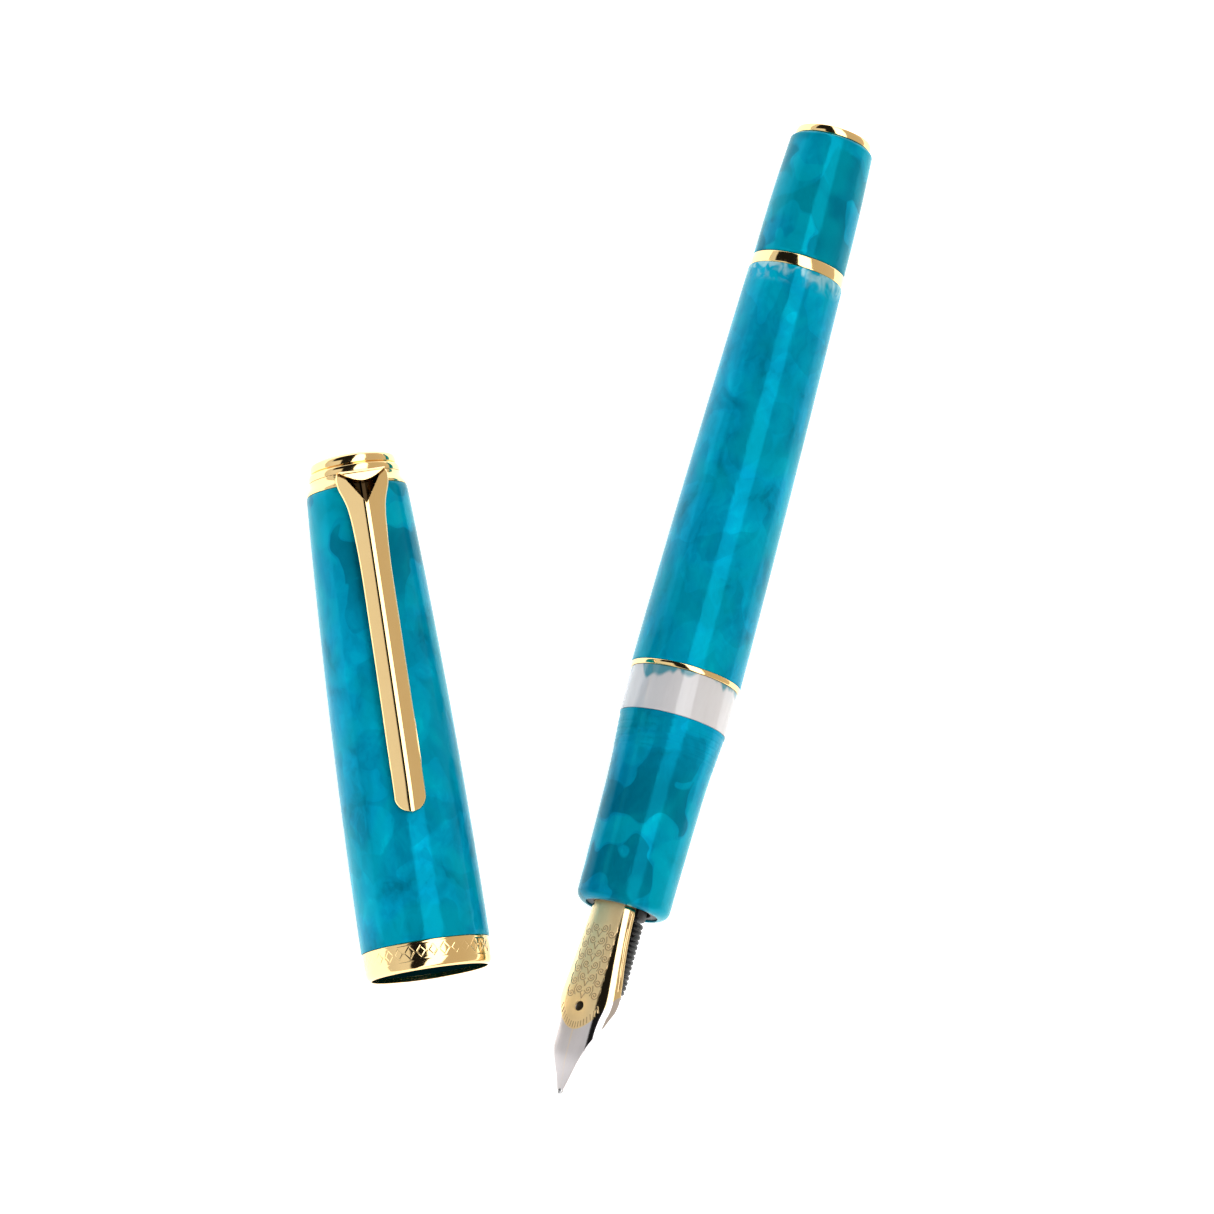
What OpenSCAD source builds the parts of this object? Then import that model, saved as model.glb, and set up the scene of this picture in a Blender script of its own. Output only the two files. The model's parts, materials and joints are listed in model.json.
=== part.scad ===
// Fountain pen with a piston filler, lying beside its unscrewed cap.
// Pen parts are drawn along their own axis: z is 0 at the section's front rim and grows towards the knob.
// Cap parts are drawn along theirs: z is 0 at the closed end and grows towards the mouth.

/* [Pen] */
// Length of the grip section, threads included
section_len = 22.9; // [20:0.1:26]
// Length of the clear ink window
window_len = 5.4; // [4:0.1:7]
// Largest radius of the barrel, just behind the window
barrel_r = 6.64; // [6.4:0.02:7]
// Radius of the barrel at the knob
barrel_end_r = 5.75; // [5.7:0.05:6]
// Length of the barrel
barrel_len = 50.25; // [48:0.25:54]
// Length of the knob without its metal finial
knob_len = 15.65; // [15:0.05:18]
// Length of nib in front of the section
nib_len = 22.75; // [20:0.05:24]
// Turn of the nib about the pen axis
nib_roll = 47; // [0:1:60]

/* [Filler] */
// Radius of the ink bore
ink_r = 4.6; // [4.4:0.05:4.7]
// Travel of the piston
piston_travel = 24; // [18:1:24]
// Radius of the piston rod over its thread
rod_r = 2; // [1.8:0.1:2.2]

/* [Cap] */
// Length of the cap
cap_len = 61.2; // [60:0.1:64]
// Radius of the cap beside the clip ring
cap_top_r = 5.95; // [5.9:0.05:6.2]
// Radius of the cap at the band
cap_mouth_r = 7.53; // [7.5:0.01:7.8]
// Length of the clip
clip_len = 40.5; // [34:0.1:42]
// Height of the metal band at the mouth
band_h = 3.3; // [3:0.1:5]

/* [Lying] */
// Slope of the pen as it lies on its tapered barrel
pen_tilt = 1; // [0.8:0.1:1.2]
// Slope of the cap as it lies on its tapered side
cap_tilt = 1.5; // [1.3:0.1:1.7]
// Angle between the cap and the pen, seen from above
cap_yaw = 24.5; // [15:0.1:30]
// Turn of the cap about its own axis
cap_roll = -6; // [-8:1:8]
// Distance of the pen axis from the middle of the whole
pen_x = 21.2; // [20.8:0.1:21.6]
// Place of the section's front rim along the pen
pen_y = -37.7; // [-38.3:0.1:-37.1]
// Place of the cap's closed end across the pen
cap_x = -24; // [-24.2:0.1:-23.4]
// Place of the cap's closed end along the pen
cap_y = 4.1; // [3:0.1:5]

/* [Hidden] */
$fn = 96;
eps = 0.01;
// Gap between glued or screwed pieces, and between running ones
seat = 0.02;
run = 0.05;

// Pen stations
window_end = section_len + window_len;
ring_h = 0.65;
barrel_start = window_end + ring_h;
barrel_end = barrel_start + barrel_len;
knob_ring_h = 1.5;
knob_start = barrel_end + knob_ring_h + run;
knob_end = knob_start + knob_len;
finial_h = 1;
thread_start = 18.2;
thread_pitch = 0.85;
thread_turns = 5;
thread_crest = 6.42;
thread_root = 6.1;
chamber_r = 5.5;
chamber_start = 15;
chamber_end = 59.5;
collar_r = 4.28;
collar_len = 14;
nib_r = 3.38;
nib_t = 0.24;
nib_shank = 12;
nib_shoulder = 9.6;
hole_z = 10.2 - nib_len;
housing_r = 4.98;
housing_start = 60;
guide_len = 3;
sleeve_r = 3.85;
flange_z = 76.1;
head_len = 5;
head_z = 54;
nut_end = 68;
rod_end = nut_end + piston_travel + 0.5;
flat_half = 1.5;

// Cap stations
ring_top = 2.6;
tube_start = 4.2;
tube_end = cap_len - band_h;
liner_r = 5.2;
liner_end = cap_len - window_end + 0.2;
thread_ring_z = 51;
thread_ring_len = 5;
thread_ring_r = 6.62;
section_bore_r = 6.25;
tenon_r = 7.15;
band_r = 7.43;
mouth_r = 6.8;
bush_r = 2.2;
stud_r = 1.5;
clip_root_z = 2.7;
clip_tip_z = clip_root_z + clip_len;
clip_y = 9.1;

function barrel_radius(z) =
    barrel_r - (barrel_r - barrel_end_r) * pow((z - barrel_start) / barrel_len, 1.4);
function cap_radius(z) =
    cap_top_r + (cap_mouth_r - cap_top_r) * (1 - pow(1 - (z - tube_start) / (tube_end - tube_start), 1.9));

// Heights of the axes, so that each piece just touches the surface it lies on
pen_lift = max([for (z = [barrel_start : 0.25 : barrel_end])
    barrel_radius(z) * cos(pen_tilt) + z * sin(pen_tilt)]);
cap_lift = max([for (z = [tube_start : 0.25 : tube_end])
    cap_radius(z) * cos(cap_tilt) - z * sin(cap_tilt)]);

// ---- Helpers ----

module in_pen() {
    translate([pen_x, pen_y, pen_lift])
        rotate([-(90 + pen_tilt), 0, 0])
            rotate([0, 0, 180])
                children();
}

module in_cap() {
    translate([cap_x, cap_y, cap_lift])
        rotate([90 - cap_tilt, 0, cap_yaw])
            rotate([0, 0, -cap_roll])
                children();
}

// Solid of revolution from points of radius and height
module lathe(points) {
    rotate_extrude()
        polygon(points);
}

// Plain tube between two heights
module tube(outer, inner, from, to) {
    difference() {
        translate([0, 0, from])
            cylinder(h = to - from, r = outer);
        bore(inner, from, to);
    }
}

// Cutter that passes through both ends
module bore(r, from, to) {
    translate([0, 0, from - eps])
        cylinder(h = to - from + 2 * eps, r = r);
}

// Ring of round wire
module o_ring(r, wire, z) {
    translate([0, 0, z])
        rotate_extrude()
            translate([r - wire, 0])
                circle(r = wire, $fn = 32);
}

function arc(r, z, radius, from, to, steps) =
    [for (i = [0 : steps]) let (a = from + (to - from) * i / steps)
        [r + radius * cos(a), z + radius * sin(a)]];

// Ridges of a fine thread, one point pair to each ridge
function ridges(from, pitch, turns, root, crest) =
    [for (i = [0 : turns - 1]) each [
        [root, from + i * pitch],
        [crest, from + (i + 0.4) * pitch],
        [crest, from + (i + 0.6) * pitch]]];

// ---- Pen body ----

module section() {
    lip_r = 1.2;
    color("teal")
        in_pen()
            difference() {
                lathe(concat(
                    [[0, 0], [4.35, 0]],
                    arc(4.48, lip_r, lip_r, -80, 20, 8),
                    [[5.66, 4.4], [5.74, 8], [5.86, 13], [5.98, 18]],
                    ridges(thread_start, thread_pitch, thread_turns, thread_root, thread_crest),
                    [[thread_root, 22.45], [6.35, section_len], [0, section_len]]));
                bore(collar_r + seat, 0, chamber_start);
                bore(chamber_r + seat, chamber_start, section_len);
            }
}

module ink_chamber() {
    feed_well_r = 3.4;
    color("lightcyan", 0.5)
        in_pen()
            difference() {
                lathe([
                    [0, chamber_start + seat], [chamber_r - 0.55, chamber_start + seat],
                    [chamber_r - 0.55, 16.5], [chamber_r, 16.5], [chamber_r, section_len + seat],
                    [6.45, section_len + seat], [6.45, window_end],
                    [chamber_r, window_end], [chamber_r, chamber_end], [0, chamber_end]]);
                bore(feed_well_r, chamber_start, chamber_end);
                bore(ink_r, section_len, chamber_end);
            }
}

module chamber_seal() {
    color("black")
        in_pen()
            o_ring(chamber_r, 0.25, 16.2);
}

module barrel_ring() {
    color("gold")
        in_pen()
            tube(barrel_r - 0.01, chamber_r + seat, window_end + seat, barrel_start);
}

module barrel() {
    steps = 16;
    color("teal")
        in_pen()
            difference() {
                lathe(concat(
                    [[0, barrel_start + seat]],
                    [for (i = [0 : steps]) let (z = barrel_start + seat + (barrel_len - seat) * i / steps)
                        [barrel_radius(z), z]],
                    [[0, barrel_end]]));
                bore(chamber_r + seat, barrel_start, housing_start);
                bore(housing_r + seat, housing_start, barrel_end);
            }
}

module knob_ring() {
    outer = barrel_end_r - 0.05;
    color("gold")
        in_pen()
            difference() {
                lathe([
                    [0, barrel_end + seat], [outer - 0.1, barrel_end + seat], [outer, barrel_end + 0.15],
                    [outer, barrel_end + knob_ring_h - 0.15], [outer - 0.1, barrel_end + knob_ring_h],
                    [0, barrel_end + knob_ring_h]]);
                bore(housing_r + seat, barrel_end, barrel_end + knob_ring_h);
            }
}

// ---- Nib unit ----

// Outline of the nib seen from above, as half widths
module nib_outline() {
    tip_half = 0.42;
    side = [
        [nib_r + 1, nib_shank],
        [nib_r + 1, nib_shoulder - nib_len],
        [2.25, 7.4 - nib_len],
        [1.2, 4.2 - nib_len],
        [0.62, 1.6 - nib_len],
        [tip_half, 0.4 - nib_len]];
    polygon(concat(side, [for (i = [len(side) - 1 : -1 : 0]) [-side[i][0], side[i][1]]]));
}

module nib() {
    below = 0.35;
    color("gold")
        in_pen()
            rotate([0, 0, -nib_roll])
                difference() {
                    intersection() {
                        tube(nib_r, nib_r - nib_t, 0.4 - nib_len, nib_shank);
                        rotate([90, 0, 0])
                            linear_extrude(height = 4 * nib_r, center = true)
                                nib_outline();
                        translate([-5, -below, -nib_len - 1])
                            cube([10, 10, nib_len + nib_shank + 2]);
                    }
                    // Breather hole
                    translate([0, 0, hole_z])
                        rotate([-90, 0, 0])
                            cylinder(h = 2 * nib_r, r = 0.65);
                    // Slit
                    translate([-0.05, 0, -nib_len - 1])
                        cube([0.1, 2 * nib_r, hole_z + nib_len + 1]);
                }
}

module nib_tipping() {
    ball_r = 0.36;
    color("silver")
        in_pen()
            rotate([0, 0, -nib_roll])
                difference() {
                    translate([0, nib_r - nib_t, ball_r - nib_len])
                        sphere(r = ball_r);
                    translate([-0.05, 0, -nib_len - 1])
                        cube([0.1, 2 * nib_r, 3]);
                    // Seat on the tines
                    translate([-1, nib_r - nib_t - 0.02, 0.4 - nib_len - seat])
                        cube([2, 1, 1]);
                }
}

module feed() {
    fins = 11;
    fin_pitch = 0.9;
    fin_t = 0.4;
    tip_z = 5.2 - nib_len;
    first_fin = -3.2;
    inner = nib_r - nib_t - seat;
    flat_top = 2.55;
    color("black")
        in_pen()
            rotate([0, 0, -nib_roll])
                difference() {
                    union() {
                        // Shank held in the collar
                        translate([0, 0, -1.5])
                            cylinder(h = collar_len + 1.5, r = nib_r - seat);
                        // Core under the tines
                        rotate([0, -90, 0])
                            linear_extrude(height = 2.6, center = true)
                                polygon([
                                    [0, flat_top], [tip_z, flat_top], [tip_z, 2], [-14, 0.2],
                                    [-9, -1.6], [0, -2.4]]);
                        for (i = [0 : fins - 1])
                            translate([0, 0, first_fin - i * fin_pitch])
                                cylinder(h = fin_t, r = 3 - 0.11 * i);
                    }
                    // Room for the nib, which wraps the upper half
                    difference() {
                        translate([-5, -0.37, -nib_len])
                            cube([10, 10, nib_len + collar_len + 1]);
                        bore(inner, -nib_len, collar_len + 1);
                    }
                    // Flat top under the tines
                    translate([-5, flat_top - 0.05, -nib_len])
                        cube([10, 10, nib_len - 2]);
                }
}

module nib_collar() {
    color("dimgray")
        in_pen()
            tube(collar_r, nib_r + seat, 0.3, collar_len);
}

// ---- Filler ----

module piston_housing() {
    counterbore_z = flange_z - run;
    color("dimgray")
        in_pen()
            difference() {
                translate([0, 0, housing_start])
                    cylinder(h = barrel_end + knob_ring_h - housing_start, r = housing_r);
                bore(3.2, housing_start, housing_start + guide_len);
                bore(sleeve_r + run, housing_start + guide_len, barrel_end);
                bore(4.5, counterbore_z, barrel_end + knob_ring_h);
                // Groove of the seal
                tube(housing_r + 1, housing_r - 0.5, 65, 65.6);
            }
}

module housing_seal() {
    color("black")
        in_pen()
            o_ring(housing_r, 0.24, 65.3);
}

// Round hole or rod with two flats
module flatted(r, half, h) {
    intersection() {
        cylinder(h = h, r = r);
        translate([-half, -r - 1, 0])
            cube([2 * half, 2 * r + 2, h]);
    }
}

module rod_guide() {
    color("ivory")
        in_pen()
            difference() {
                translate([0, 0, housing_start])
                    cylinder(h = guide_len, r = 3.2 - seat);
                translate([0, 0, housing_start - eps])
                    flatted(rod_r + run, flat_half + run, guide_len + 2 * eps);
            }
}

module retaining_ring() {
    color("goldenrod")
        in_pen()
            tube(4.5 - seat, sleeve_r + run, 77.5, 79);
}

module knob() {
    hollow_end = 93;
    color("teal")
        in_pen()
            difference() {
                lathe(concat(
                    [[0, knob_start], [5.48, knob_start], [5.58, knob_start + 0.15],
                        [5.45, 87], [5.28, 92]],
                    arc(3.85, knob_end - 1.35, 1.35, 10, 60, 6),
                    [[4.4, knob_end], [0, knob_end]]));
                bore(sleeve_r + seat, knob_start, 88);
                bore(rod_r + 0.4, 88, hollow_end);
                bore(1.2 + seat, 93.6, knob_end);
            }
}

module knob_finial() {
    rim_r = 4.65;
    color("gold")
        in_pen()
            lathe(concat(
                [[0, 93.9], [1.2, 93.9], [1.2, knob_end + seat], [rim_r - 0.1, knob_end + seat],
                    [rim_r, knob_end + 0.15], [rim_r, knob_end + finial_h - 0.15],
                    [rim_r - 0.15, knob_end + finial_h]],
                [for (i = [0 : 6]) [3.9 * cos(15 * i), knob_end + finial_h + 0.75 * sin(15 * i)]]));
}

module drive_sleeve() {
    front = housing_start + guide_len + 0.2;
    color("goldenrod")
        in_pen()
            difference() {
                union() {
                    translate([0, 0, front])
                        cylinder(h = 88 - seat - front, r = sleeve_r);
                    translate([0, 0, flange_z])
                        cylinder(h = 1.3, r = 4.4);
                }
                bore(rod_r + run, front, nut_end);
                bore(rod_r + 0.4, nut_end, 88);
            }
}

module piston_rod() {
    core_r = 1.7;
    pitch = 2;
    turns = 15;
    start = head_z + head_len + 0.3;
    color("silver")
        in_pen()
            difference() {
                lathe(concat(
                    [[0, head_z + 1], [1.2, head_z + 1], [1.2, start], [core_r, start]],
                    [for (i = [0 : turns - 1]) let (z = start + 1.5 + i * pitch) each [
                        [core_r, z], [rod_r, z + 0.4], [rod_r, z + 1.2], [core_r, z + 1.6]]],
                    [[core_r, rod_end], [0, rod_end]]));
                for (side = [-1, 1])
                    translate([side * (flat_half + 1.5), 0, start + 20])
                        cube([3, 6, 42], center = true);
            }
}

module piston_head() {
    color("white")
        in_pen()
            difference() {
                translate([0, 0, head_z])
                    cylinder(h = head_len, r = ink_r - run);
                bore(1.2 + seat, head_z + 1, head_z + head_len);
                for (z = [head_z + 0.9, head_z + 3.1])
                    tube(ink_r + 1, ink_r - 0.75, z, z + 0.8);
            }
}

module piston_o_rings() {
    color("black")
        in_pen()
            for (z = [head_z + 1.3, head_z + 3.5])
                o_ring(ink_r - seat, 0.34, z);
}

// ---- Cap ----

module cap_tube() {
    steps = 18;
    front = tube_start + seat;
    color("teal")
        in_cap()
            difference() {
                lathe(concat(
                    [[0, front]],
                    [for (i = [0 : steps]) let (z = front + (tube_end - front) * i / steps)
                        [cap_radius(z), z]],
                    [[tenon_r, tube_end], [tenon_r, cap_len - 0.6], [0, cap_len - 0.6]]));
                bore(bush_r + seat, tube_start, 7);
                bore(liner_r + seat, 7, liner_end);
                bore(section_bore_r, liner_end, thread_ring_z);
                bore(thread_ring_r + seat, thread_ring_z, thread_ring_z + thread_ring_len);
                bore(mouth_r, thread_ring_z + thread_ring_len, cap_len);
            }
}

module cap_band() {
    color("gold")
        in_cap()
            difference() {
                lathe([
                    [0, tube_end + seat], [band_r - 0.08, tube_end + seat], [band_r, tube_end + 0.12],
                    [band_r - 0.02, cap_len - 0.9], [band_r - 0.1, cap_len - 0.4],
                    [band_r - 0.22, cap_len - 0.12], [band_r - 0.4, cap_len], [0, cap_len]]);
                bore(mouth_r, tube_end, cap_len);
                bore(tenon_r + seat, tube_end, cap_len - 0.6 + seat);
            }
}

module cap_thread_ring() {
    from = thread_ring_z + seat;
    to = thread_ring_z + thread_ring_len - seat;
    color("gold")
        in_cap()
            difference() {
                tube(thread_ring_r, 6.15, from, to);
                lathe(concat(
                    [[0, from - eps]],
                    ridges(from - eps, thread_pitch, thread_turns + 1, 6.15, 6.47),
                    [[0, to + 0.2]]));
            }
}

module inner_cap() {
    color("dimgray")
        in_cap()
            difference() {
                translate([0, 0, 8 + seat])
                    cylinder(h = liner_end - 8 - seat, r = liner_r);
                bore(4.6, 9.4, liner_end);
                // Seat that seals on the lip of the section
                translate([0, 0, liner_end - 0.6])
                    cylinder(h = 0.6 + eps, r1 = 4.6, r2 = 4.95);
            }
}

module finial_bush() {
    color("goldenrod")
        in_cap()
            difference() {
                union() {
                    translate([0, 0, tube_start + 2 * seat])
                        cylinder(h = 3, r = bush_r);
                    translate([0, 0, 7 + seat])
                        cylinder(h = 1 - seat, r = 3.6);
                }
                bore(stud_r + seat, tube_start, 8);
            }
}

module clip_ring() {
    color("gold")
        in_cap()
            difference() {
                lathe([
                    [0, ring_top + seat], [5.4, ring_top + seat], [5.5, ring_top + 0.6],
                    [5.8, tube_start - 0.5], [5.9, tube_start - 0.3], [5.9, tube_start - 0.05],
                    [5.8, tube_start], [0, tube_start]]);
                bore(stud_r + seat, ring_top, tube_start);
                // Slot for the root of the clip
                translate([-1.7, 3.6, ring_top - 1])
                    cube([3.4, 5, tube_start - ring_top + 2]);
            }
}

module cap_finial() {
    color("gold")
        in_cap()
            lathe(concat(
                [for (i = [0 : 6]) [4.45 * sin(15 * i), 0.5 * (1 - cos(15 * i))]],
                arc(4.45, 1.05, 0.55, -75, 90, 6),
                [[4.85, 1.62], [4.9, 1.7], [5.3, 1.8], [5.4, 2.1], [5.4, ring_top],
                    [stud_r, ring_top], [stud_r, 7.6], [0, 7.6]]));
}

// ---- Clip ----

// Side of the blade: height above the cap axis against distance along it
module clip_side() {
    polygon([
        [clip_root_z + 0.05, 6.1], [4.6, 6.35], [8.5, 7.9], [clip_tip_z - 5, 7.95],
        [clip_tip_z - 3, 7.46], [clip_tip_z, 7.52], [clip_tip_z, 8.2], [clip_tip_z - 2.5, 8.75],
        [20, clip_y], [8, clip_y - 0.1], [4.6, 8.2], [clip_root_z + 0.05, 6.9]]);
}

// Outline of the blade seen from above, with a round tip
module clip_outline() {
    tip_r = 1.85;
    half = [
        [2.6, clip_root_z], [3.05, clip_root_z + 0.9], [2.9, 5.4], [2.15, 7.3], [1.95, 10],
        [tip_r, clip_tip_z - tip_r]];
    polygon(concat(half, [for (i = [len(half) - 1 : -1 : 0]) [-half[i][0], half[i][1]]]));
    translate([0, clip_tip_z - tip_r])
        circle(r = tip_r);
}

module clip() {
    tongue_half = 1.5;
    color("gold")
        in_cap() {
            intersection() {
                rotate([0, -90, 0])
                    linear_extrude(height = 8, center = true)
                        clip_side();
                rotate([90, 0, 0])
                    linear_extrude(height = 24, center = true)
                        clip_outline();
            }
            // Tongue held in the slot of the ring
            translate([-tongue_half, 4.2, clip_root_z + 0.15])
                cube([2 * tongue_half, 2.3, 1.05]);
        }
}

section();
ink_chamber();
chamber_seal();
barrel_ring();
barrel();
knob_ring();
nib();
nib_tipping();
feed();
nib_collar();
piston_housing();
housing_seal();
rod_guide();
retaining_ring();
knob();
knob_finial();
drive_sleeve();
piston_rod();
piston_head();
piston_o_rings();
cap_tube();
cap_band();
cap_thread_ring();
inner_cap();
clip_ring();
cap_finial();
finial_bush();
clip();
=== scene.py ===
"""Fountain pen with a piston filler, lying beside its cap: looks, materials, light and camera."""
import json
import math

import bmesh
import bpy
import numpy as np
from mathutils import Matrix, Vector


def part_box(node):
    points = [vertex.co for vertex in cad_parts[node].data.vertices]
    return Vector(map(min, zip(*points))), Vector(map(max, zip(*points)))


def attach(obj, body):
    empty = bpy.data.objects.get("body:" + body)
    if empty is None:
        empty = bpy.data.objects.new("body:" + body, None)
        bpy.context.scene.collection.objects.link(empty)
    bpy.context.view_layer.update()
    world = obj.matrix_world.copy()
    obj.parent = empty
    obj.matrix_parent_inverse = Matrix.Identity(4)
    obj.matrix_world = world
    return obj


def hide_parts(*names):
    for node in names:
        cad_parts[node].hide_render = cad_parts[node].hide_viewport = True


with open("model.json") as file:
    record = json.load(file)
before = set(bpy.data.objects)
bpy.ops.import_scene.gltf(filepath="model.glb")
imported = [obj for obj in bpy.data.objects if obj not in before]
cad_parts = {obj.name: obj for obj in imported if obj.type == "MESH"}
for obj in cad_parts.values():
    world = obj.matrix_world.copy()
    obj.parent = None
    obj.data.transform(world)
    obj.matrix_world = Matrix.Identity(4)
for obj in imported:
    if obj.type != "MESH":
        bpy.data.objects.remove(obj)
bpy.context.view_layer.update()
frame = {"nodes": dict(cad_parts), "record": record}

MM = 0.001

# ---------------------------------------------------------------- frames of the pen and of its cap

MOUNTS = {m["name"]: m for m in frame["record"]["mounts"]}
JOINTS = {j["name"]: j for j in frame["record"]["behaviour"]["joints"]}
THREAD_STATION = 20.4    # distance of the thread's middle from the front rim of the section
MOUTH_STATION = 58.7     # distance of the mouth's bore mount from the closed end of the cap


def axes_matrix(origin, x, y, z):
    """Matrix that takes local points to the row frame."""
    m = Matrix((x, y, z)).transposed().to_4x4()
    m.translation = origin
    return m


def pen_frame():
    """Local z runs from the section's rim to the knob, local y is up."""
    mount = MOUNTS["cap_thread"]
    z = -Vector(mount["axis"]).normalized()
    y = (Vector((0, 0, 1)) - z * z.z).normalized()
    return axes_matrix(Vector(mount["pos_m"]) - z * THREAD_STATION * MM, y.cross(z), y, z)


def cap_frame():
    """Local z runs from the closed end to the mouth, local y points to the clip."""
    mount = MOUNTS["cap_mouth"]
    z = Vector(mount["axis"]).normalized()
    x = -Vector(JOINTS["clip_flex"]["axis"]).normalized()
    y = z.cross(x).normalized()
    return axes_matrix(Vector(mount["pos_m"]) - z * MOUTH_STATION * MM, y.cross(z), y, z)


PEN = pen_frame()
CAP = cap_frame()


def nib_frame():
    """The pen's frame turned so that local y points out of the middle of the nib."""
    low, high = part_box("nib_tipping")
    tip = PEN.inverted() @ ((Vector(low) + Vector(high)) / 2)
    return PEN @ Matrix.Rotation(math.atan2(-tip.x, tip.y), 4, "Z")


NIB = nib_frame()

# ---------------------------------------------------------------- sizes in millimetres

# Pen: stations counted from the section's rim, other lengths, and radii (_R)
SECTION_END = 22.9
WINDOW_END = 28.3
BARREL_START = 28.95
BARREL_END = 79.2
KNOB_START = 80.75
KNOB_END = 96.4
NIB_LENGTH = 22.75
HOLE_FROM_TIP = 10.2
BORDER_Z = -15.35        # where the gold plating of the nib ends at its middle
BORDER_CURVE = 0.29
THREAD_START = 18.3
THREAD_END = 22.45
THREAD_PITCH = 0.85
THREAD_DEPTH = 0.02
THREAD_START_R = 5.98
BARREL_R = 6.64
BARREL_END_R = 5.75
CHAMBER_R = 5.5
INK_R = 4.6
HOUSING_R = 5.0
COLLAR_R = 4.3
COLLAR_BORE_R = 3.42
KNOB_BORE_R = 3.87
BUSH_BORE_R = 1.22
CHAMBER_END = 59.5
GAP = 0.02               # left between neighbours so that their faces never coincide

# Cap: stations counted from its closed end, and radii (_R)
CAP_LENGTH = 61.2
TUBE_START = 4.2
TUBE_END = 57.9
CAP_TOP_R = 5.95
CAP_MOUTH_R = 7.53
BAND_R = 7.43
MOUTH_BORE_R = 6.8
TENON_R = 7.15
TENON_END = 60.6
POCKET_R = 6.64          # pocket of the cap's thread ring
POCKET_START = 51.0
POCKET_END = 56.0
SECTION_SPACE_R = 6.25
LINER_R = 5.22
LINER_END = 33.1
CLIP_TIP = 43.2
CLIP_HALF = 1.85


def barrel_radius(z):
    share = (z - BARREL_START) / (BARREL_END - BARREL_START)
    return BARREL_R - (BARREL_R - BARREL_END_R) * share ** 1.4


def cap_radius(z):
    share = (z - TUBE_START) / (TUBE_END - TUBE_START)
    return CAP_TOP_R + (CAP_MOUTH_R - CAP_TOP_R) * (1 - np.maximum(1 - share, 0) ** 1.9)


# ---------------------------------------------------------------- curves and meshes

def smooth_step(x, low, high):
    t = np.clip((x - low) / (high - low), 0, 1)
    return t * t * (3 - 2 * t)


def spline(x, knots):
    """Smooth curve through (x, value) knots, flat beyond its ends."""
    xs, ys = np.array(knots, float).T
    slopes = np.gradient(ys, xs)
    x = np.clip(np.asarray(x, float), xs[0], xs[-1])
    i = np.clip(np.searchsorted(xs, x) - 1, 0, len(xs) - 2)
    h = xs[i + 1] - xs[i]
    t = (x - xs[i]) / h
    return ((2 * t ** 3 - 3 * t ** 2 + 1) * ys[i] + (t ** 3 - 2 * t ** 2 + t) * h * slopes[i]
            + (3 * t ** 2 - 2 * t ** 3) * ys[i + 1] + (t ** 3 - t ** 2) * h * slopes[i + 1])


def rounded(corners, closed=True, steps=5):
    """Outline through (radius, height, fillet) corners, each corner turned into a small arc."""
    points = []
    count = len(corners)
    for i, (r, z, fillet) in enumerate(corners):
        here = np.array((r, z))
        if not fillet or (not closed and i in (0, count - 1)):
            points.append(here)
            continue
        before = np.array(corners[i - 1][:2]) - here
        after = np.array(corners[(i + 1) % count][:2]) - here
        reach = min(fillet, 0.45 * np.hypot(*before), 0.45 * np.hypot(*after))
        start = here + before / np.hypot(*before) * reach
        end = here + after / np.hypot(*after) * reach
        for t in np.linspace(0, 1, steps):
            points.append((1 - t) ** 2 * start + 2 * t * (1 - t) * here + t ** 2 * end)
    return np.array(points)


def dense(points, step, closed=True):
    """The same outline with no edge longer than step."""
    ends = np.roll(points, -1, axis=0) if closed else points[1:]
    out = []
    for a, b in zip(points, ends):
        parts = max(1, math.ceil(np.hypot(*(b - a)) / step))
        out += [a + (b - a) * k / parts for k in range(parts)]
    if not closed:
        out.append(points[-1])
    return np.array(out)


def grid_faces(rows, columns, wrap_rows, wrap_columns):
    faces = []
    for i in range(rows if wrap_rows else rows - 1):
        j = (i + 1) % rows
        for k in range(columns if wrap_columns else columns - 1):
            m = (k + 1) % columns
            faces.append((i * columns + k, i * columns + m, j * columns + m, j * columns + k))
    return faces


def turned(outline, closed=True, segments=160, warp=None):
    """Solid of revolution about z. warp(radius, height, angle) gives new radii and heights."""
    angles = np.linspace(0, 2 * math.pi, segments, endpoint=False)
    r = np.repeat(outline[:, :1], segments, axis=1)
    z = np.repeat(outline[:, 1:], segments, axis=1)
    a = np.repeat(angles[None, :], len(outline), axis=0)
    if warp:
        r, z = warp(r, z, a)
    verts = np.stack([r * np.cos(a), r * np.sin(a), z], axis=-1).reshape(-1, 3)
    faces = grid_faces(len(outline), segments, closed, True)
    return verts, faces


def lofted(loops):
    """Closed skin through a list of closed loops with the same number of points."""
    count, size = len(loops), len(loops[0])
    verts = np.concatenate(loops)
    faces = grid_faces(count, size, False, True)
    faces.append(tuple(range(size))[::-1])
    faces.append(tuple(range((count - 1) * size, count * size)))
    return verts, faces


def joined(*parts):
    """Several (verts, faces) as one."""
    verts, faces, start = [], [], 0
    for v, f in parts:
        verts.append(np.asarray(v, float))
        faces += [tuple(i + start for i in face) for face in f]
        start += len(v)
    return np.concatenate(verts), faces


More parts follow.
